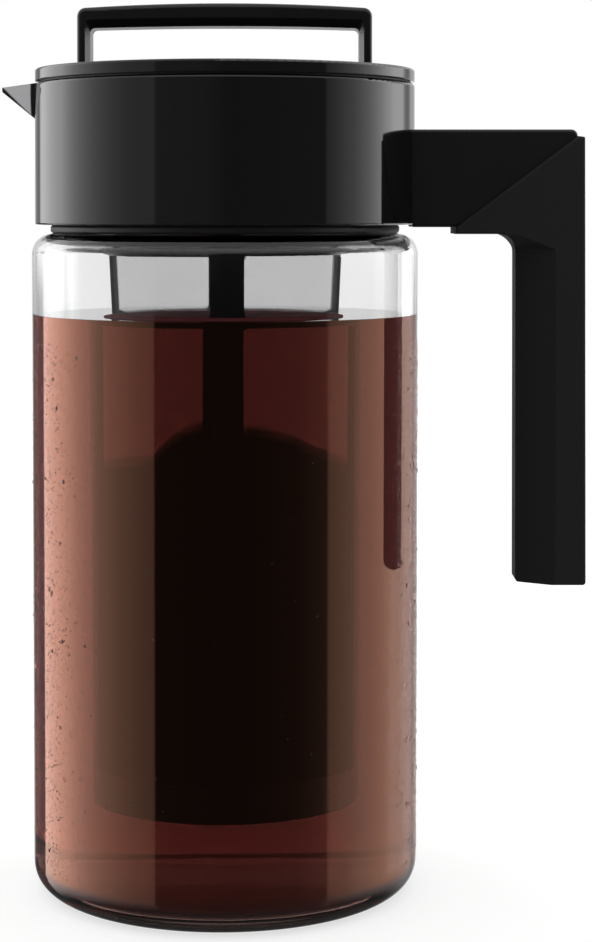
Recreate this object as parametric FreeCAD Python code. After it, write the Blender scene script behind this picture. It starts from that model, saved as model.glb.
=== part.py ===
"""Cold brew coffee maker: a clear jug with a pouring collar and side handle, a turn-and-lift lid,
and a long mesh infuser that screws into the lid and hangs in the brew.

Millimetres, +Z up. The origin is the centre of the jug's underside, on the jug's axis. +X points to the
side handle and -X to the spout. Each sub-part is written to parts/NODE.step."""

import FreeCAD, Part
import math
import os

# ---- driving dimensions (mm and degrees) ----

# clear jug
jug_radius = 48.2          # at the shoulder
jug_draft = 0.4            # how much slimmer the jug is at its base
jug_wall = 2.6
jug_floor = 4.0
base_corner = 7.4          # outer radius where the wall meets the underside
inner_corner = 5.0
shoulder_z = 163.4
neck_step = 5.8            # from the jug's side in to its neck
shoulder_land = 0.6        # flat ring left between the shoulder's round and the neck
neck_wall = 2.4
neck_height = 20.6
neck_lip_round = 0.6
neck_root_round = 1.3      # inside, where the shoulder turns up into the neck
bead_depth = 0.5           # snap bead round the neck, which holds the collar
bead_height = 2.0
bead_drop = 7.0            # from the neck's rim down to the bead

# pouring collar
collar_wall = 5.0          # from the neck out to the collar's face
collar_height = 35.1
collar_edge = 0.9
collar_foot_edge = 0.45
collar_mouth_edge = 0.3    # at the rim's inner corner
collar_fit = 0.05          # radial gap between the neck and the collar's bore
collar_lip = 2.0           # thickness of the lip that caps the neck's rim
lip_setback = 0.3          # how far that lip's edge stands back from the neck's bore
core_gap = 1.4             # moulded-in groove that thins the collar's wall
core_height = 17.0
core_skin = 2.2            # skin left outside the groove
core_solid_angle = 36.0    # stretch left solid for the handle
bayonet_wall = 4.0         # the collar's wall round the lid's plug
ledge_depth = 1.7
ledge_height = 2.2
ledge_angle = 70.0
ledge_drop = 6.8           # from the collar's top rim down to the ledges
bayonet_count = 3

# spout
spout_reach = 8.4
spout_root = 2.0           # how far inside the collar's face the spout's V begins
spout_half_width = 9.0
spout_depth = 12.7
spout_keel_round = 3.0
spout_tip_half_width = 1.0
spout_tip_depth = 1.3
spout_tip_round = 0.32
spout_tip_drop = 0.9
spout_wall = 1.2
spout_tip_wall = 0.5

# seals
neck_seal_width = 1.1
neck_seal_thickness = 2.1
neck_seal_round = 0.8      # of its outer edges
neck_gasket_thickness = 1.0
neck_gasket_inset = 0.3    # from both edges of the neck's rim
lid_gasket_setback = 0.7   # from the collar's bore out to the lid gasket
lid_gasket_width = 2.1
lid_gasket_thickness = 0.95
lid_gasket_rest = 0.05     # between the lid gasket and the collar's rim
lid_gasket_seat_gap = 0.1  # above the lid gasket, in its groove in the lid
plug_seal_section = 0.85   # radius of the ring's round section
infuser_seal_section = 1.0
seal_gap = 0.2             # between a ring and what it turns or slides against
seal_side_gap = 0.2

# side handle
arm_drop = 11.6            # from the collar's rim down to the arm's top
arm_height = 24.1
arm_reach = 39.8           # from the collar's face out to the arm's end
arm_corner = 1.6
arm_half_depth = 10.0
arm_edge = 0.8
seam_start = 9.7           # from the collar's face to the foot of the slanted seam with the grip
seam_high_drop = 1.65      # from the arm's top down to the seam's upper end
grip_proud = 1.7           # how far the grip stands out from the arm, below and behind
grip_side_proud = 1.0
grip_width = 16.6
grip_length = 110.8
grip_lean = 0.3            # how far the lower end of the grip leans out
grip_crook = 4.6           # inner radius between the arm and the grip
grip_corner = 0.8
grip_top_slope = 0.2       # fall of the narrow top ledge behind the arm
grip_top_corner = 0.4
grip_edge = 0.7
grip_skin = 2.1            # rubber over the stiff core, in the handle's plane
grip_side_skin = 5.5       # rubber over the stiff core, on its two sides
grip_inner_skin = 4.2      # rubber over the stiff core, on the faceted inner side
core_shoulder = 2.5        # how far the stiff core is buried in the arm at the seam
core_top_drop = 0.6        # from the seam down to the top of the core's outer side
facet_width = 9.4          # slanted face on each inner side of the grip
facet_depth = 6.5
facet_drop = 3.8           # from the grip's underside down to the facet's upper edge, at its outer end
facet_rise = 3.7           # rise of that edge towards the inner side
scoop_slope = 0.5          # the facet's upper end comes forward at this slope
tenon_depth = 2.4
tenon_half_width = 4.0
tenon_half_waist = 3.1
tenon_drop = 4.1           # from the arm's top down to the tenon's
tenon_fit = 0.1

# lid
lid_gap = 0.4              # shadow gap between the collar's rim and the lid
lid_thickness = 3.1
lid_edge = 0.6
lid_foot_edge = 0.3
lid_dish_rim = 2.4         # width of the rim round the shallow dish on top
lid_dish_depth = 0.5
lid_dish_edge = 0.2
seat_depth = 1.0           # grooves under the lid that the plug and the socket are welded in
plug_fit = 0.4             # radial gap from the plug's upper body to the ledges
plug_lower_gap = 0.6       # radial gap from the plug's lower body to the neck
plug_wall = 2.0
plug_lower_wall = 2.4
plug_foot_edge = 0.8
plug_reach = 17.5          # from the neck's rim down to the plug's lower end
plug_step_gap = 0.6
plug_seal_rise = 5.7       # from the plug's lower end up to its seal
lug_angle = 28.0
lug_height = 2.1
lug_fit = 0.3
window_turn = 30.0         # turn of the lid, from lift-off, that brings the window to the spout
window_angle = 24.0
window_height = 6.0
window_drop = 1.2          # from the lid's underside down to the window

# lid handle
bail_setback = 10.8        # from the lid's edge in to the handle's end
bail_leg = 3.2             # at mid-depth, where the leg and the bar bulge inwards
bail_bar = 5.0
bail_leg_bulge = 1.15
bail_bar_bulge = 2.0
bail_bulge_depth = 2.1     # from the handle's face back to the crest of the bulge
bail_rise = 15.2           # from the lid's top to the bar's top at its ends
bail_crown = 1.1            # the bar's rise from its ends to its middle
bail_opening_crown = 0.5
bail_half_depth = 6.5
bail_corner = 2.2
bail_inner_corner = 1.2
bail_edge = 1.1
bail_tenon_half_depth = 4.0
bail_tenon_shoulder = 0.45

# infuser socket in the lid, and its three-start thread
socket_space = 3.2         # between the plug and the socket
socket_wall = 1.8
socket_reach = 37.4        # from the lid's underside down to the socket's end
thread_space = 1.6         # between the infuser's collar and the socket
thread_lead = 15.0
thread_starts = 3
thread_angle = 62.0
thread_depth = 1.2
thread_root = 2.0
thread_crest = 1.2
thread_gap = 0.25          # between the infuser's ridges and those they rest on
thread_rise = 4.0          # from the socket's end up to its ridges
thread_crest_gap = 0.4

# infuser
infuser_collar_proud = 4.4  # how far the infuser's collar stands out below the socket
infuser_collar_height = 17.0
infuser_seal_rise = 1.8    # from the socket's end up to the infuser's seal
cage_shoulder = 1.3        # the collar's foot steps in and down by this much to the cage
cage_draft = 0.7
upper_window_height = 14.5
cage_ring_height = 0.8
cage_step = 1.2
cage_step_round = 0.6
basket_step = 3.0          # from the ring in to the lower cage
basket_draft = 0.8
infuser_floor_gap = 18.5   # brew under the infuser
frame_wall = 1.75
upper_rib = 8.0
lower_rib = 6.8
lower_window_margin = 0.5  # ring left above the lower windows
bottom_ring = 7.0
window_corner = 0.9
rib_count = 4
rib_turn = 2.6             # of the ribs, past the handle's plane, with the infuser screwed home
mesh_thickness = 0.35
base_thickness = 2.0
base_edge = 0.65
base_spigot = 5.0
base_spigot_wall = 1.6
base_fit = 0.05
base_rim = 8.6             # from the cap's edge in to its mesh

# for building
past = 1.0                 # how far a cutting body runs past what it cuts
bury = 0.4                 # how far a ledge, lug or ridge is buried in the wall that carries it

# ---- places worked out from them ----

# jug and collar
jug_base_radius = jug_radius - jug_draft
shoulder_corner = neck_step - shoulder_land
neck_radius = jug_radius - neck_step
neck_bore = neck_radius - neck_wall
neck_top_z = shoulder_z + neck_height
collar_radius = neck_radius + collar_wall
collar_bore = neck_radius + collar_fit
collar_bottom_z = shoulder_z + neck_seal_thickness
collar_top_z = collar_bottom_z + collar_height
lip_bottom_z = neck_top_z + neck_gasket_thickness
lip_top_z = lip_bottom_z + collar_lip
bayonet_bore = collar_radius - bayonet_wall
ledge_radius = bayonet_bore - ledge_depth
ledge_top_z = collar_top_z - ledge_drop
ledge_bottom_z = ledge_top_z - ledge_height
spout_angle = 180.0

# side handle
arm_top_z = collar_top_z - arm_drop
arm_bottom_z = arm_top_z - arm_height
arm_end_x = collar_radius + arm_reach
seam_low_x = collar_radius + seam_start
seam_high_z = arm_top_z - seam_high_drop
grip_half_depth = arm_half_depth + grip_side_proud
grip_outer_x = arm_end_x + grip_proud
grip_inner_x = grip_outer_x - grip_width
grip_underside_z = arm_bottom_z - grip_proud
grip_bottom_z = seam_high_z - grip_length
facet_top_z = grip_underside_z - facet_drop

# lid
lid_gasket_inner = bayonet_bore + lid_gasket_setback
lid_gasket_outer = lid_gasket_inner + lid_gasket_width
lid_gasket_bottom_z = collar_top_z + lid_gasket_rest
lid_gasket_top_z = lid_gasket_bottom_z + lid_gasket_thickness
lid_bottom_z = collar_top_z + lid_gap
lid_top_z = lid_bottom_z + lid_thickness
weld_top_z = lid_bottom_z + seat_depth
plug_radius = ledge_radius - plug_fit
plug_inner_radius = plug_radius - plug_wall
plug_lower_radius = neck_bore - plug_lower_gap
plug_lower_inner_radius = plug_lower_radius - plug_lower_wall
plug_step_z = lip_top_z + plug_step_gap
plug_bottom_z = neck_top_z - plug_reach
plug_seal_z = plug_bottom_z + plug_seal_rise
plug_seal_radius = neck_bore - seal_gap - plug_seal_section
bail_half_span = collar_radius - bail_setback

# socket and infuser
socket_radius = plug_lower_inner_radius - socket_space - socket_wall
socket_bottom_z = lid_bottom_z - socket_reach
thread_low_z = socket_bottom_z + thread_rise
infuser_collar_radius = socket_radius - thread_space
infuser_collar_bottom_z = socket_bottom_z - infuser_collar_proud
infuser_collar_top_z = infuser_collar_bottom_z + infuser_collar_height
infuser_seal_z = socket_bottom_z + infuser_seal_rise
infuser_seal_radius = socket_radius - seal_gap - infuser_seal_section
cage_top_radius = infuser_collar_radius - cage_shoulder
cage_top_z = infuser_collar_bottom_z - cage_shoulder
cage_ring_radius = cage_top_radius - cage_draft
cage_ring_top_z = cage_top_z - upper_window_height
cage_ring_bottom_z = cage_ring_top_z - cage_ring_height
basket_top_radius = cage_ring_radius - basket_step
basket_top_z = cage_ring_bottom_z - cage_step
basket_bottom_radius = basket_top_radius - basket_draft
basket_bottom_z = jug_floor + infuser_floor_gap + base_thickness
infuser_bore = cage_top_radius - frame_wall
mesh_skin = (frame_wall - mesh_thickness) / 2
base_opening_radius = basket_bottom_radius - base_rim
first_window_turn = 180.0 / rib_count + rib_turn

ORIGIN = FreeCAD.Vector(0, 0, 0)
UP = FreeCAD.Vector(0, 0, 1)


# ---- outlines ----

def upright(u, v):
    """A point of an outline that stands in the XZ plane."""
    return FreeCAD.Vector(u, 0, v)


def flat(u, v):
    """A point of an outline that lies in the XY plane."""
    return FreeCAD.Vector(u, v, 0)


def line(start, end):
    return Part.LineSegment(start, end).toShape()


def arc(start, middle, end):
    return Part.Arc(start, middle, end).toShape()


def outline(corners, place=upright):
    """A closed face through corners (u, v) or (u, v, radius), each radius an arc tangent to both sides."""
    edges, ends = [], []
    for i, corner in enumerate(corners):
        here = place(corner[0], corner[1])
        radius = corner[2] if len(corner) > 2 else 0.0
        if radius <= 0:
            ends.append((here, here))
            continue
        before = (place(*corners[i - 1][:2]) - here).normalize()
        after = (place(*corners[(i + 1) % len(corners)][:2]) - here).normalize()
        half = before.getAngle(after) / 2
        inward = (before + after).normalize()
        start = here + before * (radius / math.tan(half))
        end = here + after * (radius / math.tan(half))
        middle = here + inward * (radius / math.sin(half) - radius)
        edges.append(arc(start, middle, end))
        ends.append((start, end))
    for i in range(len(ends)):
        start, end = ends[i][1], ends[(i + 1) % len(ends)][0]
        if start.distanceToPoint(end) > 1e-6:
            edges.append(line(start, end))
    return Part.Face(Part.Wire(Part.__sortEdges__(edges)))


def lathe(corners, angle=360.0, start=0.0):
    """Turns an (r, z) outline about Z, by angle degrees from start."""
    solid = outline(corners).revolve(ORIGIN, UP, angle)
    solid.rotate(ORIGIN, UP, start)
    return solid


def ring(inner, outer, low, high, angle=360.0, start=0.0):
    return lathe([(inner, low), (outer, low), (outer, high), (inner, high)], angle, start)


def rod(radius, low, high):
    return Part.makeCylinder(radius, high - low, FreeCAD.Vector(0, 0, low))


def thickened(face, half_depth):
    """A face in the XZ plane, given depth along Y, evenly about y = 0."""
    face.translate(FreeCAD.Vector(0, -half_depth, 0))
    return face.extrude(FreeCAD.Vector(0, 2 * half_depth, 0))


def slab(corners, half_depth):
    return thickened(outline(corners), half_depth)


def turned(shape, angle):
    copy = shape.copy()
    copy.rotate(ORIGIN, UP, angle)
    return copy


def repeated(shape, count, first=0.0):
    """count copies of shape, evenly round Z."""
    return [turned(shape, first + 360.0 * i / count) for i in range(count)]


def soften(solid, radius, chosen):
    """Rounds the edges that chosen(edge) picks."""
    return solid.makeFillet(radius, [edge for edge in solid.Edges if chosen(edge)])


def on_side(edge, half_depth):
    """True for an edge that lies wholly in one of the two side faces y = -half_depth or +half_depth."""
    box = edge.BoundBox
    return box.YLength < 1e-6 and abs(abs(box.YMin) - half_depth) < 1e-6


# ---- jug and collar ----

def jug_body():
    bead_z = neck_top_z - bead_drop
    bead_radius = neck_radius + bead_depth
    inner_base = jug_base_radius - jug_wall
    inner_top = jug_radius - jug_wall
    return lathe([
        (0, 0),
        (jug_base_radius, 0, base_corner),
        (jug_radius, shoulder_z, shoulder_corner),
        (neck_radius, shoulder_z),
        (neck_radius, bead_z - bead_height),
        (bead_radius, bead_z - bead_height / 2),
        (neck_radius, bead_z),
        (neck_radius, neck_top_z, neck_lip_round),
        (neck_bore, neck_top_z, neck_lip_round),
        (neck_bore, shoulder_z - jug_wall, neck_root_round),
        (inner_top, shoulder_z - jug_wall, shoulder_corner - jug_wall),
        (inner_base, jug_floor, inner_corner),
        (0, jug_floor),
    ])


def neck_seal():
    """The dark ring that shows between the jug's shoulder and the collar."""
    inner = neck_radius + collar_fit
    outer = inner + neck_seal_width
    return lathe([
        (inner, shoulder_z),
        (outer, shoulder_z, neck_seal_round),
        (outer, collar_bottom_z, neck_seal_round),
        (inner, collar_bottom_z),
    ])


def neck_gasket():
    """Flat gasket between the neck's rim and the collar's inner lip."""
    inner, outer = neck_bore + neck_gasket_inset, neck_radius - neck_gasket_inset
    return ring(inner, outer, neck_top_z, lip_bottom_z)


def spout_section(x, half_width, depth, keel_round, rise):
    """A V with a rounded keel, in the plane at x, its open side rise above the rim line."""
    top = collar_top_z

    def place(y, z):
        return FreeCAD.Vector(x, y, z)

    return outline([
        (-half_width, top + rise),
        (half_width, top + rise),
        (half_width, top),
        (0, top - depth, keel_round),
        (-half_width, top),
    ], place).OuterWire


def spout_root_section(wall, rise):
    return spout_section(spout_root - collar_radius, spout_half_width - wall, spout_depth - wall,
                         spout_keel_round - wall, rise)


def spout(wall, tip_wall, rise):
    """The spout as a solid V, drawn in by wall at its root and by tip_wall at its tip."""
    share = 1 - tip_wall / spout_tip_half_width
    tip = spout_section(-collar_radius - spout_reach, spout_tip_half_width * share, spout_tip_depth * share,
                        spout_tip_round * share, rise)
    tip.translate(FreeCAD.Vector(0, 0, -spout_tip_drop))
    return Part.makeLoft([spout_root_section(wall, rise), tip], True, True)


def pour_collar():
    bead_z = neck_top_z - bead_drop
    body = lathe([
        (collar_bore, collar_bottom_z),
        (collar_radius, collar_bottom_z, collar_foot_edge),
        (collar_radius, collar_top_z, collar_edge),
        (bayonet_bore, collar_top_z, collar_mouth_edge),
        (bayonet_bore, lip_top_z),
        (neck_bore + lip_setback, lip_top_z),
        (neck_bore + lip_setback, lip_bottom_z),
        (collar_bore, lip_bottom_z),
        (collar_bore, bead_z),
        (collar_bore + bead_depth, bead_z - bead_height / 2),
        (collar_bore, bead_z - bead_height),
    ])
    core_outer = collar_radius - core_skin
    body = body.cut(ring(core_outer - core_gap, core_outer, collar_bottom_z - past,
                         collar_bottom_z + core_height, 360 - core_solid_angle, core_solid_angle / 2))
    ledge = ring(ledge_radius, bayonet_bore + bury, ledge_bottom_z, ledge_top_z,
                 ledge_angle, -ledge_angle / 2)
    body = body.fuse(repeated(ledge, bayonet_count))

    root = Part.Face(spout_root_section(spout_wall, past))
    notch = root.extrude(FreeCAD.Vector(collar_radius - bayonet_bore + past, 0, 0))
    body = body.fuse(spout(0.0, 0.0, 0.0)).cut([spout(spout_wall, spout_tip_wall, past), notch])
    return body.cut(tenon(tenon_fit)).removeSplitter()


# ---- side handle ----

def tenon(gap):
    """Dovetail that slides up into the collar from below, grown by gap on every side."""
    waist_x = collar_radius + past
    root_x = collar_radius - tenon_depth - gap
    face = outline([
        (root_x, -tenon_half_width - gap),
        (waist_x, -tenon_half_waist - gap),
        (waist_x, tenon_half_waist + gap),
        (root_x, tenon_half_width + gap),
    ], flat)
    face.translate(FreeCAD.Vector(0, 0, collar_bottom_z - gap))
    return face.extrude(FreeCAD.Vector(0, 0, arm_top_z - tenon_drop - collar_bottom_z + 2 * gap))


def seam_z(x):
    """Height of the slanted seam between the arm and the grip, at x."""
    return arm_bottom_z + (x - seam_low_x) * (seam_high_z - arm_bottom_z) / (arm_end_x - seam_low_x)


def handle_core():
    """The stiff core inside the grip, which is one piece with the arm."""
    left = grip_inner_x + grip_inner_skin
    right = grip_outer_x - grip_skin
    low = grip_underside_z + grip_skin
    buried = seam_low_x + core_shoulder
    return slab([
        (buried, seam_z(buried) + core_shoulder),
        (buried + core_shoulder, low),
        (left, low, grip_crook - grip_skin),
        (left, grip_bottom_z + grip_skin, grip_corner),
        (right + grip_lean, grip_bottom_z + grip_skin, grip_corner),
        (right, seam_z(right) - core_top_drop),
        (right - core_shoulder, seam_z(right - core_shoulder) + core_shoulder),
    ], grip_half_depth - grip_side_skin)


def handle_arm():
    root_x = math.sqrt(collar_radius ** 2 - arm_half_depth ** 2) - past
    block = slab([
        (root_x, arm_bottom_z),
        (seam_low_x, arm_bottom_z),
        (arm_end_x, seam_high_z),
        (arm_end_x, arm_top_z, arm_corner),
        (root_x, arm_top_z),
    ], arm_half_depth)

    def long_edge(edge):
        box = edge.BoundBox
        level = box.ZLength < 1e-6 and box.XLength > arm_half_depth
        return level and on_side(edge, arm_half_depth)

    block = soften(block, arm_edge, long_edge)
    hole = rod(collar_radius, arm_bottom_z - past, arm_top_z + past)
    return block.cut(hole).fuse([tenon(0.0), handle_core()]).removeSplitter()


def handle_grip():
    body = slab([
        (seam_low_x, grip_underside_z),
        (grip_inner_x, grip_underside_z, grip_crook),
        (grip_inner_x, grip_bottom_z, grip_corner),
        (grip_outer_x + grip_lean, grip_bottom_z, grip_corner),
        (grip_outer_x, seam_high_z - grip_top_slope, grip_top_corner),
        (arm_end_x, seam_high_z),
        (seam_low_x, arm_bottom_z),
    ], grip_half_depth)
    body = soften(body, grip_edge, lambda edge: on_side(edge, grip_half_depth))

    # slanted faces on the two inner sides, which end above in a scoop under the crook
    slope, fall = facet_depth / facet_width, facet_rise / facet_width
    inner_x, outer_x = grip_inner_x - grip_crook - past, grip_inner_x + facet_width + past
    low_z, high_z, top_z = grip_bottom_z - past, arm_top_z, facet_top_z + facet_rise
    reach = grip_half_depth + past
    for side in (1, -1):
        def place(x, y):
            return FreeCAD.Vector(x, side * y, low_z)

        wedge = outline([
            (inner_x, grip_half_depth - facet_depth - slope * (grip_crook + past)),
            (outer_x, grip_half_depth + slope * past),
            (inner_x, grip_half_depth + slope * past),
        ], place).extrude(FreeCAD.Vector(0, 0, high_z - low_z))
        above = outline([
            (inner_x, top_z),
            (grip_inner_x, top_z),
            (outer_x, facet_top_z - fall * past),
            (outer_x, high_z + reach),
            (inner_x, high_z + reach),
        ])
        above.translate(FreeCAD.Vector(0, 0, -scoop_slope * grip_half_depth))
        above = above.extrude(FreeCAD.Vector(0, side * reach, scoop_slope * reach))
        body = body.cut(wedge.cut(above))
    return body.cut(handle_core())


# ---- lid ----

def lid_cap():
    dish_radius = collar_radius - lid_dish_rim
    body = lathe([
        (0, lid_bottom_z),
        (collar_radius, lid_bottom_z, lid_foot_edge),
        (collar_radius, lid_top_z, lid_edge),
        (dish_radius, lid_top_z, lid_dish_edge),
        (dish_radius - lid_dish_depth, lid_top_z - lid_dish_depth),
        (0, lid_top_z - lid_dish_depth),
    ])
    low_z = lid_bottom_z - past
    gasket_seat = ring(lid_gasket_inner - seal_side_gap, lid_gasket_outer + seal_side_gap,
                       low_z, lid_gasket_top_z + lid_gasket_seat_gap)
    plug_seat = ring(plug_inner_radius, plug_radius, low_z, weld_top_z)
    socket_seat = ring(socket_radius, socket_radius + socket_wall, low_z, weld_top_z)
    return body.cut([gasket_seat, plug_seat, socket_seat] + bail_tenons(low_z))


def lid_gasket():
    """Flat ring under the lid's rim. It closes the spout's notch from above."""
    return ring(lid_gasket_inner, lid_gasket_outer, lid_gasket_bottom_z, lid_gasket_top_z)


def plug_seal():
    return Part.makeTorus(plug_seal_radius, plug_seal_section, FreeCAD.Vector(0, 0, plug_seal_z))


def lid_plug():
    body = lathe([
        (plug_lower_inner_radius, plug_bottom_z),
        (plug_lower_radius, plug_bottom_z, plug_foot_edge),
        (plug_lower_radius, plug_step_z),
        (plug_radius, plug_step_z),
        (plug_radius, weld_top_z),
        (plug_inner_radius, weld_top_z),
        (plug_inner_radius, plug_step_z + plug_wall),
        (plug_lower_inner_radius, plug_step_z),
    ])
    groove_floor = plug_seal_radius - plug_seal_section - seal_gap
    half_groove = plug_seal_section + seal_side_gap
    body = body.cut(ring(groove_floor, plug_lower_radius + past,
                         plug_seal_z - half_groove, plug_seal_z + half_groove))

    lug_top_z = ledge_bottom_z - lug_fit
    lug = ring(plug_radius - bury, bayonet_bore - lug_fit, lug_top_z - lug_height, lug_top_z,
               lug_angle, -lug_angle / 2)
    body = body.fuse(repeated(lug, bayonet_count, spout_angle))

    window_top_z = lid_bottom_z - window_drop
    window = ring(plug_inner_radius - past, plug_radius + past, window_top_z - window_height, window_top_z,
                  window_angle, spout_angle + window_turn - window_angle / 2)
    return body.cut(window).removeSplitter()


def bail_tenons(low_z):
    """The two feet of the lid handle, from low_z up into its legs."""
    feet = []
    width = bail_leg - 2 * bail_tenon_shoulder
    for side in (1, -1):
        middle = side * (bail_half_span - bail_leg / 2)
        corner = FreeCAD.Vector(middle - width / 2, -bail_tenon_half_depth, low_z)
        feet.append(Part.makeBox(width, 2 * bail_tenon_half_depth, lid_top_z + past - low_z, corner))
    return feet


def gate(half_span, top_z, corner, foot_z, crown):
    """A gate in the XZ plane: straight legs, and a top that starts at top_z and rises by crown."""
    reach = half_span - corner
    cut_in = corner * (1 - math.sqrt(0.5))
    leg_z = top_z - corner

    def corner_arc(side):
        bend = upright(side * (half_span - cut_in), top_z - cut_in)
        return arc(upright(side * reach, top_z), bend, upright(side * half_span, leg_z))

    return Part.Face(Part.Wire(Part.__sortEdges__([
        arc(upright(-reach, top_z), upright(0, top_z + crown), upright(reach, top_z)),
        corner_arc(1),
        corner_arc(-1),
        line(upright(half_span, leg_z), upright(half_span, foot_z)),
        line(upright(-half_span, leg_z), upright(-half_span, foot_z)),
        line(upright(-half_span, foot_z), upright(half_span, foot_z)),
    ])))


def lid_handle():
    seat_z = lid_top_z - lid_dish_depth
    top_z = lid_top_z + bail_rise
    body = thickened(gate(bail_half_span, top_z, bail_corner, seat_z, bail_crown), bail_half_depth)

    def top_edge(edge):
        return on_side(edge, bail_half_depth) and edge.BoundBox.ZMax > lid_top_z + past

    body = soften(body, bail_edge, top_edge)
    opening = gate(bail_half_span - bail_leg, top_z - bail_bar, bail_inner_corner, seat_z - past,
                   bail_opening_crown)
    body = body.cut(thickened(opening.copy(), bail_half_depth + past))
    grown = 1 + past / bail_bulge_depth
    wide = gate(bail_half_span - bail_leg + grown * bail_leg_bulge, top_z - bail_bar + grown * bail_bar_bulge,
                bail_inner_corner, seat_z - past, bail_opening_crown)
    for side in (1, -1):
        crest, mouth = opening.OuterWire.copy(), wide.OuterWire.copy()
        crest.translate(FreeCAD.Vector(0, side * (bail_half_depth - bail_bulge_depth), 0))
        mouth.translate(FreeCAD.Vector(0, side * (bail_half_depth + past), 0))
        body = body.cut(Part.makeLoft([crest, mouth], True, True))
    return body.fuse(bail_tenons(lid_bottom_z)).removeSplitter()


# ---- infuser thread ----

def ridge(root_radius, crest_radius, low_z, start):
    """One helical ridge: root_radius is buried in its wall, crest_radius is its free edge."""
    taper = (thread_root - thread_crest) / 2
    section = outline([
        (root_radius, 0),
        (crest_radius, taper),
        (crest_radius, thread_root - taper),
        (root_radius, thread_root),
    ]).OuterWire
    path = Part.makeHelix(thread_lead, thread_lead * thread_angle / 360, root_radius)
    body = Part.Wire(path.Edges).makePipeShell([section], True, True)
    body.translate(FreeCAD.Vector(0, 0, low_z))
    return turned(body, start)


def infuser_socket():
    """Inner sleeve of the lid, with the ridges that carry the infuser."""
    body = ring(socket_radius, socket_radius + socket_wall, socket_bottom_z, weld_top_z)
    crest = socket_radius - thread_depth
    first = ridge(socket_radius + bury, crest, thread_low_z, -thread_angle / 2)
    return body.fuse(repeated(first, thread_starts)).removeSplitter()


def infuser_collar():
    body = ring(infuser_bore, infuser_collar_radius, infuser_collar_bottom_z, infuser_collar_top_z)
    groove_floor = infuser_seal_radius - infuser_seal_section - seal_gap
    half_groove = infuser_seal_section + seal_side_gap
    body = body.cut(ring(groove_floor, infuser_collar_radius + past,
                         infuser_seal_z - half_groove, infuser_seal_z + half_groove))
    crest = socket_radius - thread_crest_gap
    low_z = thread_low_z + thread_root + thread_gap
    first = ridge(infuser_collar_radius - bury, crest, low_z, -thread_angle / 2)
    return body.fuse(repeated(first, thread_starts)).removeSplitter()


def infuser_seal():
    return Part.makeTorus(infuser_seal_radius, infuser_seal_section, FreeCAD.Vector(0, 0, infuser_seal_z))


# ---- infuser cage ----

def basket_radius(z):
    """Outer radius of the lower cage at height z."""
    share = (z - basket_bottom_z) / (basket_top_z - basket_bottom_z)
    return basket_bottom_radius + share * (basket_top_radius - basket_bottom_radius)


def half_opening(radius, rib):
    """Half the width of a window between two ribs, seen square on."""
    return radius * math.sin(math.pi / rib_count - math.asin(rib / 2 / radius))


def window_block(top_z, top_radius, bottom_z, bottom_radius, rib):
    """Prism that cuts one window, pointing along +X."""
    top, bottom = half_opening(top_radius, rib), half_opening(bottom_radius, rib)

    def place(y, z):
        return FreeCAD.Vector(past, y, z)

    return outline([
        (-top, top_z, window_corner),
        (-bottom, bottom_z, window_corner),
        (bottom, bottom_z, window_corner),
        (top, top_z, window_corner),
    ], place).extrude(FreeCAD.Vector(2 * cage_top_radius, 0, 0))


def upper_window():
    return window_block(cage_top_z, cage_top_radius, cage_ring_top_z, cage_ring_radius, upper_rib)


def lower_window():
    top_z = basket_top_z - lower_window_margin
    bottom_z = basket_bottom_z + bottom_ring
    return window_block(top_z, basket_radius(top_z), bottom_z, basket_radius(bottom_z), lower_rib)


def infuser_frame():
    body = lathe([
        (infuser_bore, infuser_collar_bottom_z),
        (infuser_collar_radius, infuser_collar_bottom_z),
        (cage_top_radius, cage_top_z),
        (cage_ring_radius, cage_ring_top_z),
        (cage_ring_radius, cage_ring_bottom_z, cage_step_round),
        (basket_top_radius, basket_top_z),
        (basket_bottom_radius, basket_bottom_z),
        (basket_bottom_radius - frame_wall, basket_bottom_z),
        (basket_top_radius - frame_wall, basket_top_z + frame_wall),
        (cage_ring_radius - frame_wall, cage_ring_bottom_z + frame_wall),
        (infuser_bore, cage_top_z),
    ])
    windows = [repeated(window, rib_count, first_window_turn) for window in (upper_window(), lower_window())]
    return body.cut(windows[0] + windows[1])


def mesh_panel(top_radius, top_z, bottom_radius, bottom_z, window):
    """A mesh panel in the middle of the frame's wall, whose outer radius is given, cut out by its window."""
    top, bottom = top_radius - mesh_skin, bottom_radius - mesh_skin
    sleeve = lathe([
        (top - mesh_thickness, top_z),
        (top, top_z),
        (bottom, bottom_z),
        (bottom - mesh_thickness, bottom_z),
    ])
    return sleeve.common(window)


def upper_mesh():
    return mesh_panel(cage_top_radius, cage_top_z, cage_ring_radius, cage_ring_top_z, upper_window())


def lower_mesh():
    return mesh_panel(basket_top_radius, basket_top_z, basket_bottom_radius, basket_bottom_z, lower_window())


def infuser_base():
    """Cap that closes the cage's lower end: a flanged ring with a spigot."""
    low = basket_bottom_z - base_thickness
    spigot = basket_bottom_radius - frame_wall - base_fit
    return lathe([
        (base_opening_radius, low),
        (basket_bottom_radius, low, base_edge),
        (basket_bottom_radius, basket_bottom_z),
        (spigot, basket_bottom_z),
        (spigot, basket_bottom_z + base_spigot),
        (spigot - base_spigot_wall, basket_bottom_z + base_spigot),
        (spigot - base_spigot_wall, basket_bottom_z),
        (base_opening_radius, basket_bottom_z),
    ])


def base_mesh():
    """Round mesh panel in the middle of the cap."""
    low = basket_bottom_z - (base_thickness + mesh_thickness) / 2
    return rod(base_opening_radius, low, low + mesh_thickness)


# ---- every node ----

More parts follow.
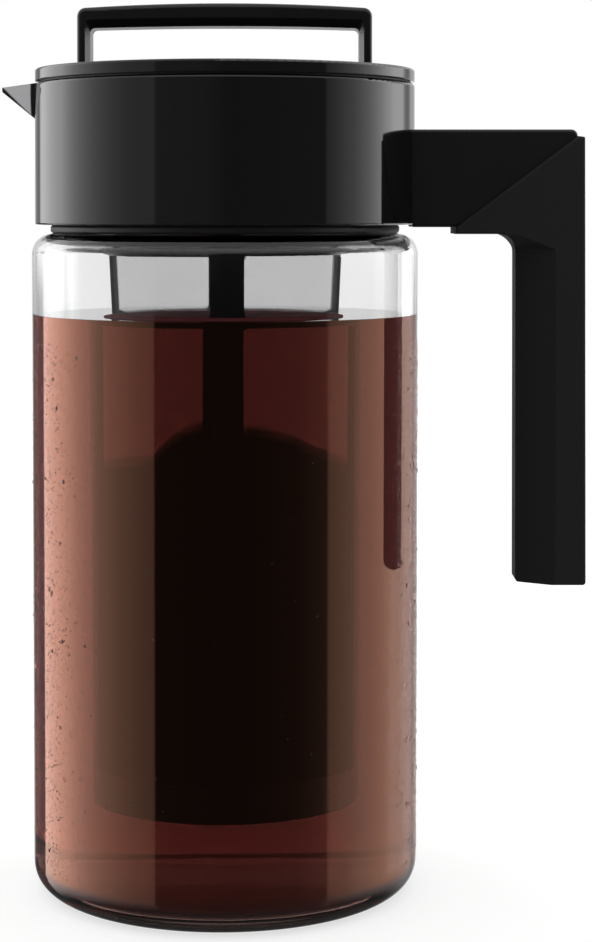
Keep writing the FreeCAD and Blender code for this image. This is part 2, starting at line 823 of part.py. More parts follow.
NODES = {
    "jug_body": jug_body,
    "neck_seal": neck_seal,
    "neck_gasket": neck_gasket,
    "pour_collar": pour_collar,
    "handle_arm": handle_arm,
    "handle_grip": handle_grip,
    "lid_cap": lid_cap,
    "lid_gasket": lid_gasket,
    "lid_plug": lid_plug,
    "plug_seal": plug_seal,
    "lid_handle": lid_handle,
    "infuser_socket": infuser_socket,
    "infuser_collar": infuser_collar,
    "infuser_seal": infuser_seal,
    "infuser_frame": infuser_frame,
    "infuser_base": infuser_base,
    "base_mesh": base_mesh,
}

os.makedirs("parts", exist_ok=True)
made = {name: make() for name, make in NODES.items()}
for number in range(rib_count):
    turn = first_window_turn + 360.0 * number / rib_count
    made[f"upper_mesh_{number + 1}"] = turned(upper_mesh(), turn)
    made[f"lower_mesh_{number + 1}"] = turned(lower_mesh(), turn)

for name, solid in made.items():
    solid.exportStep(f"parts/{name}.step")
    print(f"{name:16s} solids {len(solid.Solids)}  valid {solid.isValid()}  {solid.Volume / 1000:7.2f} cm3")
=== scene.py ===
# %% [markdown]
# A cold brew coffee maker: a clear jug of brew, a black pouring collar with a side handle, a lid with
# a bail, and a long mesh infuser that hangs in the brew. Every hard part already has its true shape in
# the CAD frame, so this lesson loads that frame, and then adds what CAD leaves out: the brew, the
# grounds, the water drops on the cold wall, the woven mesh, and how each surface takes the light.

# %% Load the frame
import math

import bmesh
import bpy
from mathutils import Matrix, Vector, noise


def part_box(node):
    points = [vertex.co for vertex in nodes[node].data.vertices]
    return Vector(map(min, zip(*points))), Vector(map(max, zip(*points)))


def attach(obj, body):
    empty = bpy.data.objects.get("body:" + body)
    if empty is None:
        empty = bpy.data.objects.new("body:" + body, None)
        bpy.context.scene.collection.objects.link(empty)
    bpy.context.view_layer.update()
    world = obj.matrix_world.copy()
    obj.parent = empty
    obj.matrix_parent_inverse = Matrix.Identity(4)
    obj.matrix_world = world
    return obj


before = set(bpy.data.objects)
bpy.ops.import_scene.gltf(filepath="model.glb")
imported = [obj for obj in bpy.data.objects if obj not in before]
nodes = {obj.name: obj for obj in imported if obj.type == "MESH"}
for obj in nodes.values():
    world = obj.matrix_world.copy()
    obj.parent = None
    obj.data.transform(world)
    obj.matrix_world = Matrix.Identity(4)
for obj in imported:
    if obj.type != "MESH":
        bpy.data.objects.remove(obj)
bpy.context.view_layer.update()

# %% [markdown]
# The camera stands a little above the brew's surface and looks almost level, as one does at a jug on a
# table. Keeping it nearly level keeps the jug's sides upright; a small lens shift, as on a view camera,
# then frames the whole object without tipping the camera.

# %% Place the camera
MM = 0.001
camera_data = bpy.data.cameras.new("camera")
camera_data.sensor_width = camera_data.sensor_height = 36.0  # mm
camera_data.lens = 89.8  # mm
camera_data.shift_x = 0.0009
camera_data.shift_y = -0.24
camera_data.clip_start = 0.01
camera_data.clip_end = 20.0
TIPPED_DOWN = 0.873  # degrees below level
camera = bpy.data.objects.new("camera", camera_data)
camera.location = (17.5 * MM, -589 * MM, 169.35 * MM)
camera.rotation_euler = (math.radians(90 - TIPPED_DOWN), 0, 0)
bpy.context.scene.collection.objects.link(camera)
bpy.context.scene.camera = camera
print("camera at", [round(v, 4) for v in camera.location])

# %% [markdown]
# Clear plastic and brew are seen through many surfaces in a row, so Cycles is allowed more bounces than
# it usually takes. The colours are shown as they are written, with the Standard view.

# %% Set how light is followed
scene = bpy.context.scene
scene.view_settings.view_transform = "Standard"
scene.cycles.max_bounces = 24
scene.cycles.transmission_bounces = 20
scene.cycles.transparent_max_bounces = 24
scene.cycles.glossy_bounces = 8
scene.cycles.diffuse_bounces = 4
scene.cycles.volume_bounces = 0
scene.cycles.caustics_reflective = True
scene.cycles.caustics_refractive = True

# %% [markdown]
# A node tree is easier to read when each node is made in one line. The first helper makes a node, fills
# in its unlinked inputs, and joins the linked ones. The others make the nodes that come up most often.


# %% Short ways to add nodes
def add(tree, kind, inputs=None, **settings):
    node = tree.nodes.new(kind)
    for name, value in settings.items():
        setattr(node, name, value)
    for name, value in (inputs or {}).items():
        if isinstance(value, bpy.types.NodeSocket):
            tree.links.new(value, node.inputs[name])
        else:
            node.inputs[name].default_value = value
    return node


def maths(tree, operation, *values, clamp=False):
    node = add(tree, "ShaderNodeMath", dict(enumerate(values)), operation=operation, use_clamp=clamp)
    return node.outputs[0]


def blend(tree, factor, first, second):
    return add(tree, "ShaderNodeMix", {0: factor, 6: first, 7: second}, data_type="RGBA").outputs[2]


def between(tree, value, start, end, first, second):
    """first up to start and second from end, with a straight change between."""
    return add(tree, "ShaderNodeMapRange", {0: value, 1: start, 2: end, 3: first, 4: second}).outputs[0]


def step(tree, value, start, end):
    """0 before start and 1 after end, with a soft change between."""
    node = add(tree, "ShaderNodeMapRange", {0: value, 1: start, 2: end}, interpolation_type="SMOOTHSTEP")
    return node.outputs[0]


def ramp(tree, value, stops):
    """A ramp of greys; each stop is (position, brightness)."""
    node = add(tree, "ShaderNodeValToRGB", {0: value})
    elements = node.color_ramp.elements
    elements.remove(elements[-1])
    for i, (at, brightness) in enumerate(stops):
        element = elements[0] if i == 0 else elements.new(at)
        element.position = at
        element.color = (brightness, brightness, brightness, 1)
    return node.outputs[0]


def spot(tree):
    """Where a point of a surface lies, in metres."""
    return add(tree, "ShaderNodeTexCoord").outputs["Object"]


def parts(tree, vector):
    """The vector's three numbers."""
    return add(tree, "ShaderNodeSeparateXYZ", {0: vector}).outputs


# %% [markdown]
# The studio is a dome of soft light: broad bright screens stand left and right, a little behind the
# jug, the wall behind is plain white, and the side of the room towards the viewer is dark. Dark black
# plastic shows this as two bright edges round a nearly black face, and clear plastic gets its rim
# light. Each table below is brightness against compass angle, where 0 is towards the viewer and 180
# is behind. The screens are brightest at the height of the collar. Below it the dome stands for the
# table's duller mirror image of them, and the light that comes through the jug has a table of its own.

# %% Light the studio
BRIGHTEST = 4.0
HIGH = {
    "left": [(0, 0.1), (10, 0.15), (39.5, 0.17), (41, 0.42), (52, 0.43), (60, 0.5), (69, 0.68), (79, 1.0),
             (89, 1.4), (100, 2.0), (113, 2.9), (128, 2.55), (136, 2.35), (142, 2.05), (146, 1.5),
             (149, 0.35), (158, 0.4), (166, 0.6), (174, 1.0)],
    "right": [(10, 0.08), (63, 0.1), (64.5, 0.35), (71, 0.5), (77, 0.72), (84, 0.92), (90, 1.2), (97, 1.6),
              (105, 2.1), (113, 2.6), (123, 2.8), (134, 2.05), (137, 1.7), (140, 0.8), (145, 0.45),
              (149, 0.55), (153, 0.95), (163, 0.7), (180, 1.0)]}
LOW = {
    "left": [(0, 0.03), (39.5, 0.04), (41, 0.34), (50, 0.42), (57, 0.52), (65, 0.66), (77, 0.93), (91, 1.35),
             (106, 1.6), (128, 1.65), (134, 1.7), (135.5, 0.08), (158, 0.08), (168, 0.6), (180, 1.0)],
    "right": [(10, 0.03), (45, 0.05), (63, 0.1), (65, 0.42), (76, 0.55), (89, 0.78), (103, 0.8), (120, 0.8),
              (144, 0.7), (155, 0.35), (165, 0.6), (180, 1.0)]}
THROUGH = {
    "left": [(0, 0.02), (60, 0.05), (90, 0.2), (112, 0.35), (120, 1.1), (127, 1.6), (135, 1.1), (146, 0.7),
             (151, 0.6), (157, 0.72), (163, 1.15), (168, 1.0), (180, 1.1)],
    "right": [(0, 0.02), (60, 0.05), (90, 0.2), (112, 0.5), (119, 2.0), (125, 3.4), (131.5, 1.2),
              (135.5, 1.2), (137, 3.6), (141, 3.0), (147, 2.4), (152, 1.7), (157, 1.1), (168, 1.05),
              (180, 1.1)]}


def dome(tree, angle, is_right, table):
    """Brightness all round; angle is 0 towards the viewer and 1 behind, on either side."""
    sides = [ramp(tree, angle, [(at / 180, value / BRIGHTEST) for at, value in table[side]])
             for side in ("left", "right")]
    return blend(tree, is_right, *sides)


def grey(brightness):
    return (brightness / BRIGHTEST,) * 3 + (1,)


world = bpy.data.worlds.new("studio")
scene.world = world
world.use_nodes = True
sky = world.node_tree
sky.nodes.clear()
across, along, height = parts(sky, add(sky, "ShaderNodeTexCoord").outputs["Generated"])
is_right = maths(sky, "GREATER_THAN", across, 0.0)
compass = maths(sky, "ARCTAN2", maths(sky, "ABSOLUTE", across), maths(sky, "MULTIPLY", along, -1.0))
compass = maths(sky, "DIVIDE", compass, math.pi)
rays = add(sky, "ShaderNodeLightPath").outputs
mirrored = blend(sky, step(sky, height, -0.045, -0.014), dome(sky, compass, is_right, LOW),
                 dome(sky, compass, is_right, HIGH))
mirrored = blend(sky, step(sky, height, 0.35, 0.7), mirrored, grey(1.0))
mirrored = blend(sky, step(sky, height, -0.3, -0.6), mirrored, grey(0.1))
passed = blend(sky, step(sky, height, 0.3, 0.7), dome(sky, compass, is_right, THROUGH), grey(1.0))
passed = blend(sky, step(sky, height, -0.3, -0.5), passed, grey(0.15))
colour = blend(sky, rays["Is Transmission Ray"], mirrored, passed)
room = add(sky, "ShaderNodeBackground", {"Color": colour, "Strength": BRIGHTEST})
backdrop = add(sky, "ShaderNodeBackground", {"Color": (1, 1, 1, 1), "Strength": 1.0})
seen = add(sky, "ShaderNodeMixShader", {0: rays["Is Camera Ray"], 1: room.outputs[0], 2: backdrop.outputs[0]})
add(sky, "ShaderNodeOutputWorld", {"Surface": seen.outputs[0]})
print("the dome is dim towards the viewer and at most", BRIGHTEST, "at its sides")

# %% [markdown]
# The jug stands on a pale sweep. The sweep glows a little, so that it is white wherever nothing shades
# it, and its diffuse part keeps the soft shadow under the jug. Gloss and clear plastic look through it
# at the dome, as they would at a glossy white table that mirrors the screens.

# %% Lay the floor
FLOOR_SIZE = 6.0  # m
PAPER, GLOW = 0.42, 0.68
bpy.ops.mesh.primitive_plane_add(size=FLOOR_SIZE)
floor = bpy.context.object
floor.name = "floor"
floor.data.transform(floor.matrix_world)
sweep = bpy.data.materials.new("white_sweep")
sweep.use_nodes = True
tree = sweep.node_tree
tree.nodes.clear()
paper = add(tree, "ShaderNodeBsdfDiffuse", {"Color": (PAPER, PAPER, PAPER, 1)})
glow = add(tree, "ShaderNodeEmission", {"Color": (1, 1, 1, 1), "Strength": GLOW})
lit = add(tree, "ShaderNodeAddShader", {0: paper.outputs[0], 1: glow.outputs[0]})
rays = add(tree, "ShaderNodeLightPath").outputs
look_through = maths(tree, "MAXIMUM", rays["Is Glossy Ray"], rays["Is Transmission Ray"])
clear = add(tree, "ShaderNodeBsdfTransparent")
seen = add(tree, "ShaderNodeMixShader", {0: look_through, 1: lit.outputs[0], 2: clear.outputs[0]})
add(tree, "ShaderNodeOutputMaterial", {"Surface": seen.outputs[0]})
floor.data.materials.append(sweep)

# %% [markdown]
# A finish is one Principled surface with a little life in it: a fine grain that stands in for the
# mould's texture, and a slow change of gloss from handling.


# %% Make a moulded finish
HANDLING_SCALE = 45.0
GRAIN_DEPTH = 0.05 * MM


def clouds(tree, scale, detail):
    """A noise with so many bumps in a metre."""
    return add(tree, "ShaderNodeTexNoise", {"Vector": spot(tree), "Scale": scale, "Detail": detail}).outputs[0]


def colour_by(material, colour):
    """Lets nodes choose the finish's colour."""
    tree = material.node_tree
    tree.links.new(colour, tree.nodes["Principled BSDF"].inputs["Base Color"])


def tint_by(material, tint):
    """Lets nodes choose the tint of what the finish mirrors."""
    tree = material.node_tree
    tree.links.new(tint, tree.nodes["Principled BSDF"].inputs["Specular Tint"])


def clear_by(material, cover):
    """Lets nodes choose how much of what is behind the finish shows through it."""
    tree = material.node_tree
    tree.links.new(cover, tree.nodes["Principled BSDF"].inputs["Alpha"])


def absorbing(material, colour, density):
    """Takes light away along its way through the piece; density is per metre."""
    tree = material.node_tree
    depth = add(tree, "ShaderNodeVolumeAbsorption", {"Color": (*colour, 1), "Density": density})
    tree.links.new(depth.outputs[0], tree.nodes["Material Output"].inputs["Volume"])


def finish(name, colour, roughness, grain=0.0, grain_size=0.3, gloss_change=0.0, **sockets):
    material = bpy.data.materials.new(name)
    material.use_nodes = True
    tree = material.node_tree
    shader = tree.nodes["Principled BSDF"]
    shader.inputs["Base Color"].default_value = (*colour, 1)
    shader.inputs["Roughness"].default_value = roughness
    for socket, value in sockets.items():
        shader.inputs[socket.replace("_", " ")].default_value = value
    if gloss_change:
        wear = between(tree, clouds(tree, HANDLING_SCALE, 3.0), 0.3, 0.7, roughness - gloss_change,
                       roughness + gloss_change)
        tree.links.new(wear, shader.inputs["Roughness"])
    if grain:
        texture = clouds(tree, 1 / (grain_size * MM), 2.0)
        bump = add(tree, "ShaderNodeBump", {"Strength": grain, "Distance": GRAIN_DEPTH, "Height": texture})
        tree.links.new(bump.outputs[0], shader.inputs["Normal"])
    return material


def dress(material, slot, *names):
    for name in names:
        nodes[name].data.materials.clear()
        nodes[name].data.materials.append(material)


# %% [markdown]
# Where the brew wets the plastic, the two pass light to each other with almost no reflection. The
# wetted inner wall is told from the outer one by its distance from a rounded box that runs midway
# between the two, and there the plastic's own reflection is switched off.


# %% Find the wetted wall
BREW_LEVEL = 143.25
BREW_OVERLAP = 0.15
CORE_RADIUS, CORE_FLOOR, CORE_ROUNDING = 40.3, 8.2, 6.2


def in_millimetres(tree):
    """Distance from the jug's axis, and height, both in mm."""
    place = add(tree, "ShaderNodeVectorMath", {0: spot(tree), 1: (1000,) * 3}, operation="MULTIPLY").outputs[0]
    level = add(tree, "ShaderNodeVectorMath", {0: place, 1: (1, 1, 0)}, operation="MULTIPLY").outputs[0]
    radius = add(tree, "ShaderNodeVectorMath", {0: level}, operation="LENGTH").outputs["Value"]
    return radius, parts(tree, place)["Z"]


def wetted(tree):
    """1 on the inner wall below the brew's surface, and 0 elsewhere on the jug."""
    radius, height = in_millimetres(tree)
    out = maths(tree, "MAXIMUM", maths(tree, "SUBTRACT", radius, CORE_RADIUS), 0.0)
    down = maths(tree, "MAXIMUM", maths(tree, "SUBTRACT", CORE_FLOOR, height), 0.0)
    squares = maths(tree, "ADD", maths(tree, "POWER", out, 2.0), maths(tree, "POWER", down, 2.0))
    inside = maths(tree, "LESS_THAN", maths(tree, "SQRT", squares), CORE_ROUNDING)
    return maths(tree, "MULTIPLY", inside, maths(tree, "LESS_THAN", height, BREW_LEVEL))


# %% [markdown]
# The outer wall mirrors the room. Where brew stands behind it, a tint warms what it mirrors, more so at
# the jug's sides, and this stands for the light that the brew throws back. A brown painted shade darkens
# the near part of the jug's floor, seen over the shaded table. The plastic itself takes away a little
# light, which shows along its edges.

# %% Dress the clear wall
CLEAR = (0.975, 0.975, 0.975)
NO_TINT, WARM_FACE, WARM_SIDES, NO_MIRROR = (1, 1, 1, 1), (3.25, 1.55, 1, 1), (5.4, 2.2, 1, 1), (0, 0, 0, 1)
FLOOR_PAINTED_SHADE = (0.16, 0.06, 0.045, 1)
clear_plastic = finish("clear_plastic", CLEAR, 0.0, Transmission_Weight=1.0, IOR=1.5)
tree = clear_plastic.node_tree
radius, height = in_millimetres(tree)
across, forwards, _ = parts(tree, spot(tree))
warmth = step(tree, maths(tree, "ABSOLUTE", across), 32 * MM, 42 * MM)
warm = blend(tree, step(tree, height, 9.0, 6.0), blend(tree, warmth, WARM_FACE, WARM_SIDES), NO_TINT)
outside = blend(tree, maths(tree, "LESS_THAN", height, BREW_LEVEL), NO_TINT, warm)
tint_by(clear_plastic, blend(tree, wetted(tree), outside, NO_MIRROR))
# Painted shade: the near part of the jug's floor is tinted dark brown, on its front half only.
painted_shade_at_floor = maths(tree, "MULTIPLY", step(tree, height, 6.5, 3.5), step(tree, forwards, 5 * MM, -10 * MM))
colour_by(clear_plastic, blend(tree, painted_shade_at_floor, (*CLEAR, 1), FLOOR_PAINTED_SHADE))
absorbing(clear_plastic, (0, 0, 0), 16.0)
dress(clear_plastic, "clear_plastic", "jug_body")

# %% [markdown]
# The collar and the lid's cap share one glossy black. The spout's flanks are painted grey, a painted
# highlight for the bright room mirrored in their black gloss. They are told from the collar's wall by
# their distance from the jug's axis, and from the spout's keel by their distance from its middle plane.

# %% Dress the collar and its spout
COLLAR_BLACK = (0.0035, 0.0035, 0.004)
SPOUT_PAINTED_HIGHLIGHT = (0.42, 0.42, 0.43, 1)
SPOUT_FOOT = 187.5 * MM
gloss_black = finish("gloss_black_plastic", COLLAR_BLACK, 0.06, gloss_change=0.015)
dress(gloss_black, "collar_black", "pour_collar", "lid_cap")
tree = gloss_black.node_tree
_, forwards, height = parts(tree, spot(tree))
past_wall = maths(tree, "MULTIPLY", step(tree, in_millimetres(tree)[0], 48.3, 48.7),
                  maths(tree, "GREATER_THAN", height, SPOUT_FOOT))
highlit_flank = maths(tree, "MULTIPLY", past_wall, step(tree, maths(tree, "ABSOLUTE", forwards), 0.9 * MM, 1.5 * MM))
# Painted highlight: the spout's flanks are grey instead of the collar's black.
colour_by(gloss_black, blend(tree, highlit_flank, (*COLLAR_BLACK, 1), SPOUT_PAINTED_HIGHLIGHT))

# %% Dress the other black pieces
bail_black = finish("bail_black_plastic", (0.004, 0.004, 0.0042), 0.28, grain=0.1, gloss_change=0.03)
dress(bail_black, "bail_black", "lid_handle")
inside_black = finish("lid_black_plastic", (0.004, 0.004, 0.0045), 0.2, gloss_change=0.03)
dress(inside_black, "lid_black", "lid_plug", "infuser_socket")
satin_black = finish("satin_black_plastic", (0.0035, 0.0035, 0.004), 0.42, grain=0.2, gloss_change=0.04,
                     Specular_IOR_Level=0.4)
dress(satin_black, "arm_black", "handle_arm")
rubber = finish("grip_rubber", (0.01, 0.01, 0.0105), 0.65, grain=0.3, gloss_change=0.05,
                Specular_IOR_Level=0.25)
dress(rubber, "grip_rubber", "handle_grip")
silicone = finish("black_silicone", (0.01, 0.01, 0.01), 0.5, grain=0.1)
dress(silicone, "seal_silicone", "neck_seal", "neck_gasket", "lid_gasket", "plug_seal", "infuser_seal")
infuser_black = finish("infuser_black_plastic", (0.004, 0.004, 0.0045), 0.3, grain=0.15)
dress(infuser_black, "infuser_black", "infuser_collar", "infuser_frame", "infuser_base")

# %% [markdown]
# The mesh is so fine that it only veils what is behind it. Two sine waves, one round the infuser and one
# up it, make its threads. Under the brew it is wet and brown, and hides even less.

# %% Weave the mesh
DRY_MESH, WET_MESH = (0.6, 0.59, 0.6), (0.05, 0.02, 0.01)
WARP_RATE = 420.0  # per radian round the infuser
THREAD_PITCH = 0.42  # mm up the infuser
THREAD_COVER, DRY_COVER, WET_LOSS, LEAST_COVER = 0.08, 0.08, 0.09, 0.01
weave = finish("nylon_mesh", DRY_MESH, 0.5)
tree = weave.node_tree
_, height = in_millimetres(tree)
across, forwards, _ = parts(tree, spot(tree))
round_turn = maths(tree, "ARCTAN2", forwards, across)
warp = maths(tree, "SINE", maths(tree, "MULTIPLY", round_turn, WARP_RATE))
weft = maths(tree, "SINE", maths(tree, "MULTIPLY", height, 2 * math.pi / THREAD_PITCH))
both = maths(tree, "ADD", maths(tree, "ABSOLUTE", warp), maths(tree, "ABSOLUTE", weft))
threads = maths(tree, "MULTIPLY", both, 0.5)
under = maths(tree, "LESS_THAN", height, BREW_LEVEL)
base_cover = maths(tree, "MULTIPLY_ADD", under, -WET_LOSS, DRY_COVER)
cover = maths(tree, "MULTIPLY_ADD", threads, THREAD_COVER, base_cover)
clear_by(weave, maths(tree, "MAXIMUM", cover, LEAST_COVER))
colour_by(weave, blend(tree, under, (*DRY_MESH, 1), (*WET_MESH, 1)))
panels = sorted(n for n in nodes if "mesh" in n)
dress(weave, "nylon_mesh", *panels)
print(len(panels), "mesh panels")

# %% [markdown]
# The brew is a solid of revolution that fills the jug from its floor to its surface. It reaches a hair
# into the wall, so that light goes straight from plastic to brew with no film of air between them. Only
# its open surface mirrors anything.

# %% Pour the brew
def ring(mesh, radius, z, steps):
    """New points round the jug's axis, from mm."""
    turns = (2 * math.pi * i / steps for i in range(steps))
    return [mesh.verts.new((radius * MM * math.cos(a), radius * MM * math.sin(a), z * MM)) for a in turns]


def turned(name, profile, steps=256):
    """A closed solid of revolution from (radius, height) points in mm, bottom first."""
    mesh = bmesh.new()
    rings = []
    for radius, z in profile:
        if radius < 1e-6:
            rings.append([mesh.verts.new((0, 0, z * MM))])
        else:
            rings.append(ring(mesh, radius, z, steps))
    for low, high in zip(rings, rings[1:]):
        for i in range(steps):
            j = (i + 1) % steps
            corners = [low[i % len(low)], low[j % len(low)], high[j % len(high)], high[i % len(high)]]
            mesh.faces.new(list(dict.fromkeys(corners)))
    bmesh.ops.recalc_face_normals(mesh, faces=mesh.faces)
    for face in mesh.faces:
        face.smooth = True
    data = bpy.data.meshes.new(name)
    mesh.to_mesh(data)
    mesh.free()
    piece = bpy.data.objects.new(name, data)
    scene.collection.objects.link(piece)
    return piece


jug_low, jug_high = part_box("jug_body")
print("jug body from", [round(v * 1000, 1) for v in jug_low], "to", [round(v * 1000, 1) for v in jug_high])
JUG_FLOOR = 4.0
CORNER = 5.0
BORE_LENGTH = 154.4  # from the corner's top to the shoulder
bore_top, bore_bottom = 45.6 + BREW_OVERLAP, 45.2 + BREW_OVERLAP
low = JUG_FLOOR - BREW_OVERLAP
profile = [(0, low), (bore_bottom - CORNER, low)]
profile += [(bore_bottom - CORNER + CORNER * math.sin(a), low + CORNER * (1 - math.cos(a)))
            for a in (math.pi / 2 * i / 10 for i in range(1, 11))]
slope = (bore_top - bore_bottom) / BORE_LENGTH
# Rings close under and inside the rim keep its rounding from shading the wall and the surface.
profile += [(bore_bottom + slope * (z - (JUG_FLOOR + CORNER)), z)
            for z in (40, 75, 110, BREW_LEVEL - 0.4, BREW_LEVEL - 0.2, BREW_LEVEL - 0.02)]
brim = bore_bottom + slope * (BREW_LEVEL - (JUG_FLOOR + CORNER))
profile += [(brim - inward, BREW_LEVEL) for inward in (0.02, 0.15, 0.3)]
profile += [(20, BREW_LEVEL), (0, BREW_LEVEL)]
brew = turned("brew", profile)
brew_look = finish("cold_brew", (1, 1, 1), 0.0, Transmission_Weight=1.0, IOR=1.33)
tree = brew_look.node_tree
radius, height = in_millimetres(tree)
surface = maths(tree, "MULTIPLY", maths(tree, "GREATER_THAN", height, BREW_LEVEL - 0.05),
                maths(tree, "LESS_THAN", radius, 45.4))
tint_by(brew_look, blend(tree, surface, NO_MIRROR, NO_TINT))
absorbing(brew_look, (0.467, 0.1, 0.06), 60.0)
brew.data.materials.append(brew_look)
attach(brew, "jug")

# %% [markdown]
# Fine grounds float on the brew as a thin dark film, and settle on the jug's floor as a thin veil.

# %% Float the film and settle the veil
FILM_WIDE, FILM_DEEP, FILM_MIDDLE, FILM_RAGGED = 29, 29.5, -15 * MM, 0.03
VEIL_RADIUS, VEIL_SQUEEZE, VEIL_MIDDLE = 40.0, 0.8, -7.5 * MM
under, over = BREW_LEVEL + 0.02, BREW_LEVEL + 0.2
film = turned("film", [(0, under), (1, under), (1, over), (0, over)], 128)
for vertex in film.data.vertices:
    turn = math.atan2(vertex.co.y, vertex.co.x)
    if math.hypot(vertex.co.x, vertex.co.y) > 0.5 * MM:
        around = Vector((2.5 * math.cos(turn), 2.5 * math.sin(turn), 3.0))
        ragged = 1 + FILM_RAGGED * noise.noise(around)
        vertex.co.x *= FILM_WIDE * ragged
        vertex.co.y = vertex.co.y * FILM_DEEP * ragged + FILM_MIDDLE
    else:
        vertex.co.y = FILM_MIDDLE
film_look = finish("floating_fines", (0.26, 0.055, 0.06), 0.9, grain=0.3, Specular_IOR_Level=0.0)
film.data.materials.append(film_look)
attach(film, "jug")
veil = turned("veil", [(0, 4.12), (VEIL_RADIUS, 4.12), (VEIL_RADIUS, 4.2), (0, 4.2)], 128)
for vertex in veil.data.vertices:
    vertex.co.y = vertex.co.y * VEIL_SQUEEZE + VEIL_MIDDLE
veil_look = finish("settled_fines", (0.01, 0.003, 0.002), 0.9, grain=0.3, Specular_IOR_Level=0.0)
tree = veil_look.node_tree
clear_by(veil_look, between(tree, clouds(tree, 90.0, 2.0), 0.3, 0.7, 0.04, 0.08))
veil.data.materials.append(veil_look)
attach(veil, "jug")

# %% [markdown]
# The wet grounds fill the infuser. Their top is an uneven mound, steeper on one side, with lumps that
# a fixed noise gives it. The finest grounds hang over it in the brew, so its edge is soft: a few clear
# dark shells, one over another, stand for that haze.


# %% Pack the infuser with grounds
GROUNDS_TOP = 114.0
GROUNDS_FOOT = 24.3
GROUNDS_RADIUS = 24.2
SHOULDER = 104.0  # the mound rises from here
HAZE_GAP = 0.65  # from one shell to the next


def lumps(x, y):
    return noise.noise(Vector((x / 3.5, y / 3.5, 1.0))) + 0.5 * noise.noise(Vector((x / 1.4, y / 1.4, 4.0)))


def mound(name, extra, radius, material):
    """A closed mound; extra is how far its top stands over the grounds, in mm."""
    cap = SHOULDER + 1.0
    rings = [(0, GROUNDS_FOOT), (radius - 0.8, GROUNDS_FOOT), (radius, SHOULDER)]
    rings += [(radius * (1 - i / 16), cap) for i in range(16)]
    body = turned(name, rings + [(0, cap)], 96)
    for vertex in body.data.vertices:
        x, y, z = (c / MM for c in vertex.co)
        if z > SHOULDER + 0.5:
            steep = 0.075 if x < -3 else 0.016
            z = GROUNDS_TOP - steep * (x + 3) ** 2 - 0.008 * y ** 2 + 1.3 * lumps(x, y)
            vertex.co.z = (max(z, SHOULDER + 0.6) + extra) * MM
    body.data.materials.append(material)
    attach(body, "infuser")
    return body


grounds_look = finish("ground_coffee", (0.006, 0.003, 0.002), 0.9, grain=0.5, grain_size=0.8,
                      Specular_IOR_Level=0.1)
grounds = mound("grounds", 0.0, GROUNDS_RADIUS, grounds_look)
haze_look = finish("fines_in_the_brew", (0.006, 0.003, 0.002), 0.9, Specular_IOR_Level=0.0)
tree = haze_look.node_tree
clear_by(haze_look, between(tree, clouds(tree, 200.0, 2.0), 0.3, 0.7, 0.1, 0.24))
for i in range(1, 5):
    mound(f"haze_{i}", HAZE_GAP * i, GROUNDS_RADIUS + 0.03 * i, haze_look)
print("the grounds reach", round(max(v.co.z for v in grounds.data.vertices) / MM, 1), "mm")

# %% [markdown]
# A cold jug sweats. Geometry Nodes scatters drops over a band that follows the jug's outer wall: many at
# its sides, few on its near face and fewer behind, and none at its nearest and farthest lines. Each drop
# is a flattened ball, half sunk in the wall. The same nodes make a fine mist of small drops and, with
# other inputs, a few large ones.


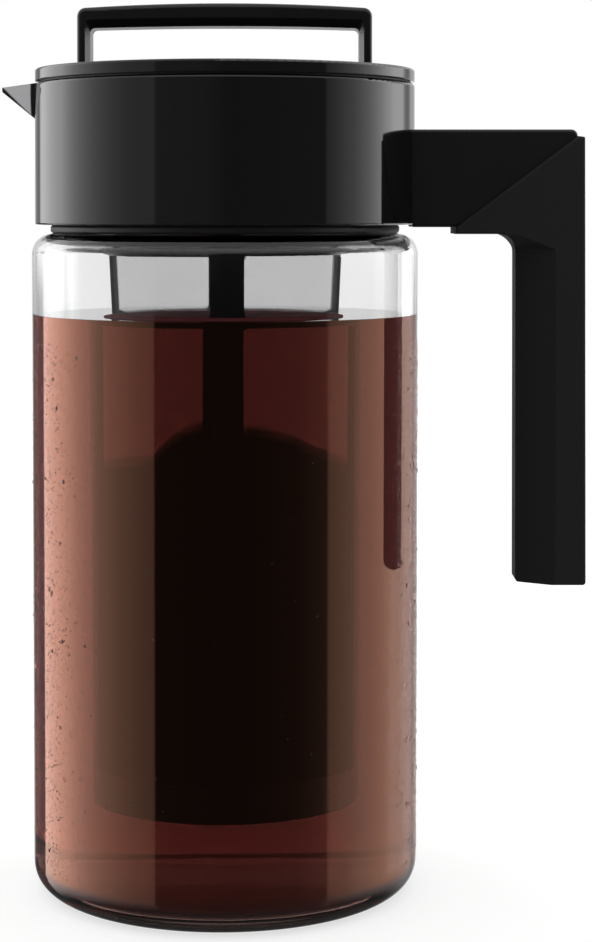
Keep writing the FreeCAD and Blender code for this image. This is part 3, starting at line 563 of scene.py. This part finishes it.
# %% Write the nodes that scatter drops
def drop_nodes():
    tree = bpy.data.node_groups.new("drops_on_a_wall", "GeometryNodeTree")
    tree.interface.new_socket("Geometry", in_out="INPUT", socket_type="NodeSocketGeometry")
    kinds = {"Per square metre": "Float", "Smallest": "Float", "Largest": "Float", "Flatness": "Float",
             "Roundness": "Int", "Seed": "Int", "Material": "Material"}
    for name, kind in kinds.items():
        tree.interface.new_socket(name, in_out="INPUT", socket_type="NodeSocket" + kind)
    tree.interface.new_socket("Geometry", in_out="OUTPUT", socket_type="NodeSocketGeometry")
    given = tree.nodes.new("NodeGroupInput").outputs
    across, along, _ = parts(tree, add(tree, "GeometryNodeInputPosition").outputs[0])
    right = between(tree, across, 42 * MM, 43.5 * MM, 0.01, 1.0)
    left = between(tree, across, -33 * MM, -40 * MM, 0.01, 0.5)
    rim = between(tree, across, -43 * MM, -43.6 * MM, 1.0, 0.12)
    behind = between(tree, along, -4 * MM, 12 * MM, 1.0, 0.15)
    share = maths(tree, "MULTIPLY", maths(tree, "MAXIMUM", right, maths(tree, "MULTIPLY", left, rim)), behind)
    kept = maths(tree, "LESS_THAN", maths(tree, "ABSOLUTE", along), 46 * MM)
    density = maths(tree, "MULTIPLY", given["Per square metre"], maths(tree, "MULTIPLY", share, kept))
    points = add(tree, "GeometryNodeDistributePointsOnFaces",
                 {"Mesh": given["Geometry"], "Density": density, "Seed": given["Seed"]})
    size = add(tree, "FunctionNodeRandomValue", {2: 0.0, 3: 1.0, "Seed": given["Seed"]}, data_type="FLOAT")
    size = maths(tree, "POWER", size.outputs[1], 2.0)
    size = add(tree, "ShaderNodeMapRange", {0: size, 3: given["Smallest"], 4: given["Largest"]}).outputs[0]
    thick = maths(tree, "MULTIPLY", size, given["Flatness"])
    scale = add(tree, "ShaderNodeCombineXYZ", {0: size, 1: size, 2: thick}).outputs[0]
    ball = add(tree, "GeometryNodeMeshIcoSphere", {"Radius": 1.0, "Subdivisions": given["Roundness"]}).outputs[0]
    drops = add(tree, "GeometryNodeInstanceOnPoints",
                {"Points": points.outputs["Points"], "Instance": ball, "Rotation": points.outputs["Rotation"],
                 "Scale": scale})
    solid = add(tree, "GeometryNodeRealizeInstances", {0: drops.outputs[0]}).outputs[0]
    smooth = add(tree, "GeometryNodeSetShadeSmooth", {"Geometry": solid}).outputs[0]
    dressed = add(tree, "GeometryNodeSetMaterial", {"Geometry": smooth, "Material": given["Material"]})
    add(tree, "NodeGroupOutput", {0: dressed.outputs[0]})
    return tree


# %% Bead the wall with drops
water = finish("water", (1, 1, 1), 0.0, Transmission_Weight=1.0, IOR=1.33)
scatter = drop_nodes()


BAND_STEPS = 128


def sweat(name, **inputs):
    """Makes one piece of drops; the inputs are those of the nodes, with _ for a space."""
    band = bmesh.new()
    rings = [ring(band, 47.8 + 0.4 * (z - 7.4) / 156, z, BAND_STEPS) for z in (9.0, 75.0, 137.0)]
    for low, high in zip(rings, rings[1:]):
        for i in range(BAND_STEPS):
            j = (i + 1) % BAND_STEPS
            band.faces.new((low[i], low[j], high[j], high[i]))
    wall = bpy.data.meshes.new(name + "_wall")
    band.to_mesh(wall)
    band.free()
    drops = bpy.data.objects.new(name, wall)
    scene.collection.objects.link(drops)
    modifier = drops.modifiers.new("drops", "NODES")
    modifier.node_group = scatter
    for item in scatter.interface.items_tree:
        value = inputs.get(item.name.replace(" ", "_"))
        if value is not None:
            modifier[item.identifier] = value
    bpy.context.view_layer.update()
    ready = drops.evaluated_get(bpy.context.evaluated_depsgraph_get())
    solid = bpy.data.meshes.new_from_object(ready)
    drops.modifiers.clear()
    drops.data = solid
    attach(drops, "jug")
    print(name, "has", len(solid.polygons), "faces")


sweat("mist", Per_square_metre=1.0e6, Smallest=0.15 * MM, Largest=0.27 * MM, Flatness=0.5, Roundness=1,
      Seed=7, Material=water)
sweat("condensation", Per_square_metre=50000.0, Smallest=0.25 * MM, Largest=0.6 * MM, Flatness=0.4,
      Roundness=2, Seed=3, Material=water)
